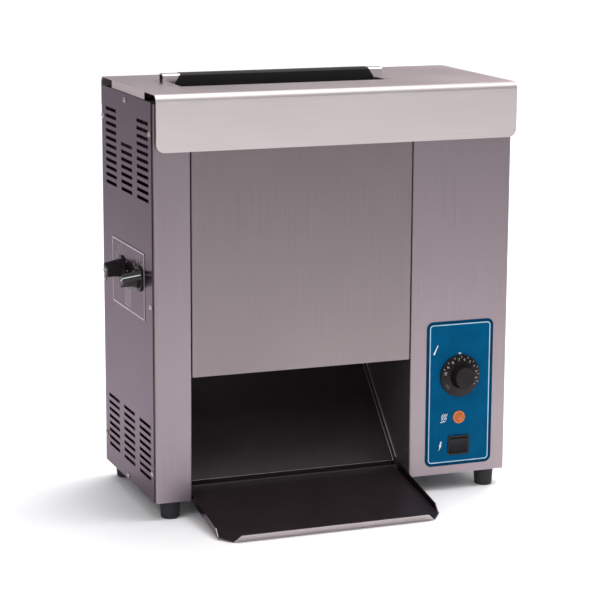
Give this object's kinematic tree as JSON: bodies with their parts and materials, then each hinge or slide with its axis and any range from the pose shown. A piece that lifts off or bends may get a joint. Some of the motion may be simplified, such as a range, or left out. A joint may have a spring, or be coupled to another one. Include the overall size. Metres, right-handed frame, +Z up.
{
  "type": "conveyor toaster",
  "caption": "Upright contact toaster with belts beside a heated platen, compression knobs, a chute and a sloping landing tray.",
  "frame": {"origin": "on the surface the toaster stands on, under the centre of its overall box", "axes": "+X to the toaster's right as seen from its front, +Y to its rear, +Z up"},
  "size_m": [0.5644, 0.3822, 0.6091],
  "materials": {
    "stainless": "vertically brushed stainless",
    "cover_stainless": "horizontally brushed stainless",
    "galvanised": "zinc-coated sheet",
    "aluminium": "as cast and machined",
    "steel": "turned or cut steel",
    "bronze": "sintered bronze",
    "screws": "plain stainless",
    "coated": "dark non-stick coating, satin",
    "release": "dark coated fabric sheet",
    "belt": "dark silicone",
    "roller": "turned",
    "black_plastic": "moulded black plastic",
    "knob_plastic": "moulded black phenolic",
    "scale_plate": "printed grey, satin",
    "blue_plate": "printed blue, satin",
    "lens": "clear orange",
    "nylon": "natural nylon",
    "rubber": "moulded rubber"
  },
  "bodies": {
    "cabinet": {"base_pan": "galvanised", "rear_cover": "stainless", "front_cover": "stainless", "top_cover": "cover_stainless", "top_rails": "galvanised", "feed_guide": "stainless", "release_sheet": "release", "platen": "aluminium", "platen_brackets": "galvanised", "heater_rods": "steel", "knob_plate": "scale_plate", "gear_studs": "steel", "motor_bracket": "galvanised", "gear_motor": "steel", "control_plate": "blue_plate", "thermostat_body": "black_plastic", "pilot_lens": "lens", "pilot_housing": "black_plastic", "switch_body": "black_plastic", "fan_frame": "black_plastic", "terminal_block": "nylon", "high_limit_switch": "black_plastic", "cord_gland": "nylon", "chute": "coated", "foot_screws": "screws", "side_panel_screws": "screws", "rear_cover_screws": "screws", "left_end_frame": "stainless", "right_end_frame": "stainless", "left_side_panel": "stainless", "right_side_panel": "stainless", "left_bushings": "bronze", "right_bushings": "bronze", "foot_front_left": "rubber", "foot_front_right": "rubber", "foot_rear_left": "rubber", "foot_rear_right": "rubber", "front_belt": "belt", "rear_belt": "belt"},
    "thermostat_dial": {"thermostat_knob": "knob_plastic"},
    "power_switch_rocker": {"power_rocker": "black_plastic"},
    "cooling_fan": {"fan_rotor": "black_plastic"},
    "tray": {"landing_tray": "coated"},
    "pinion": {"motor_pinion": "steel"},
    "front_compression_control": {"front_compression_knob": "knob_plastic", "front_cam_shaft": "steel"},
    "front_pressure": {"front_pressure_plate": "galvanised"},
    "front_drive": {"front_drive_roller": "roller", "front_drive_gear": "steel"},
    "front_idler": {"front_idler_roller": "roller"},
    "front_reverser": {"front_reversing_gear": "nylon"},
    "rear_compression_control": {"rear_compression_knob": "knob_plastic", "rear_cam_shaft": "steel"},
    "rear_pressure": {"rear_pressure_plate": "galvanised"},
    "rear_drive": {"rear_drive_roller": "roller", "rear_drive_gear": "steel"},
    "rear_idler": {"rear_idler_roller": "roller"},
    "rear_reverser": {"rear_reversing_gear": "nylon"}
  },
  "joints": [
    {"name": "thermostat_turn", "type": "hinge", "parent": "cabinet", "child": "thermostat_dial", "pos_m": [0.20525, -0.05987, 0.171], "axis": [0, 1, 0], "range_deg": [-229, 78]},
    {"name": "power_rock", "type": "hinge", "parent": "cabinet", "child": "power_switch_rocker", "pos_m": [0.20525, -0.05947, 0.0673], "axis": [1, 0, 0], "range_deg": [-16, 0]},
    {"name": "fan_spin", "type": "hinge", "parent": "cabinet", "child": "cooling_fan", "pos_m": [0.20325, 0.17013, 0.355], "axis": [0, 1, 0], "continuous": true},
    {"name": "tray_lift", "type": "slide", "parent": "cabinet", "child": "tray", "axis": [0, 0, 1], "range_m": [0, 0.04]},
    {"name": "front_compression_turn", "type": "hinge", "parent": "cabinet", "child": "front_compression_control", "pos_m": [-0.26475, 0.00213, 0.3325], "axis": [1, 0, 0], "range_deg": [0, 270]},
    {"name": "front_pressure_slide", "type": "slide", "parent": "cabinet", "child": "front_pressure", "axis": [0, -1, 0], "range_m": [0, 0.012]},
    {"name": "rear_compression_turn", "type": "hinge", "parent": "cabinet", "child": "rear_compression_control", "pos_m": [-0.26475, 0.08763, 0.3325], "axis": [1, 0, 0], "range_deg": [0, 270]},
    {"name": "rear_pressure_slide", "type": "slide", "parent": "cabinet", "child": "rear_pressure", "axis": [0, 1, 0], "range_m": [0, 0.012]},
    {"name": "front_drive_turn", "type": "hinge", "parent": "cabinet", "child": "front_drive", "pos_m": [-0.19475, -0.00787, 0.26], "axis": [1, 0, 0], "continuous": true},
    {"name": "front_idler_turn", "type": "hinge", "parent": "cabinet", "child": "front_idler", "pos_m": [-0.19475, -0.00787, 0.525], "axis": [1, 0, 0], "continuous": true},
    {"name": "front_reverser_turn", "type": "hinge", "parent": "cabinet", "child": "front_reverser", "pos_m": [0.14325, 0.04013, 0.26], "axis": [1, 0, 0], "continuous": true},
    {"name": "rear_drive_turn", "type": "hinge", "parent": "cabinet", "child": "rear_drive", "pos_m": [-0.19475, 0.13613, 0.26], "axis": [1, 0, 0], "continuous": true},
    {"name": "rear_idler_turn", "type": "hinge", "parent": "cabinet", "child": "rear_idler", "pos_m": [-0.19475, 0.13613, 0.525], "axis": [1, 0, 0], "continuous": true},
    {"name": "rear_reverser_turn", "type": "hinge", "parent": "cabinet", "child": "rear_reverser", "pos_m": [0.14325, 0.08813, 0.26], "axis": [1, 0, 0], "continuous": true},
    {"name": "pinion_turn", "type": "hinge", "parent": "cabinet", "child": "pinion", "pos_m": [0.14325, 0.04013, 0.22], "axis": [1, 0, 0], "continuous": true}
  ],
  "couplings": [
    {"joint": "front_compression_turn", "follows": "front_pressure_slide", "rad_per_m": 392.7},
    {"joint": "rear_compression_turn", "follows": "rear_pressure_slide", "rad_per_m": 392.7},
    {"joint": "front_idler_turn", "follows": "front_drive_turn", "ratio": 1},
    {"joint": "front_reverser_turn", "follows": "front_drive_turn", "ratio": -1},
    {"joint": "rear_reverser_turn", "follows": "front_drive_turn", "ratio": 1},
    {"joint": "rear_drive_turn", "follows": "front_drive_turn", "ratio": -1},
    {"joint": "rear_idler_turn", "follows": "front_drive_turn", "ratio": -1},
    {"joint": "pinion_turn", "follows": "front_drive_turn", "ratio": 1.5}
  ]
}
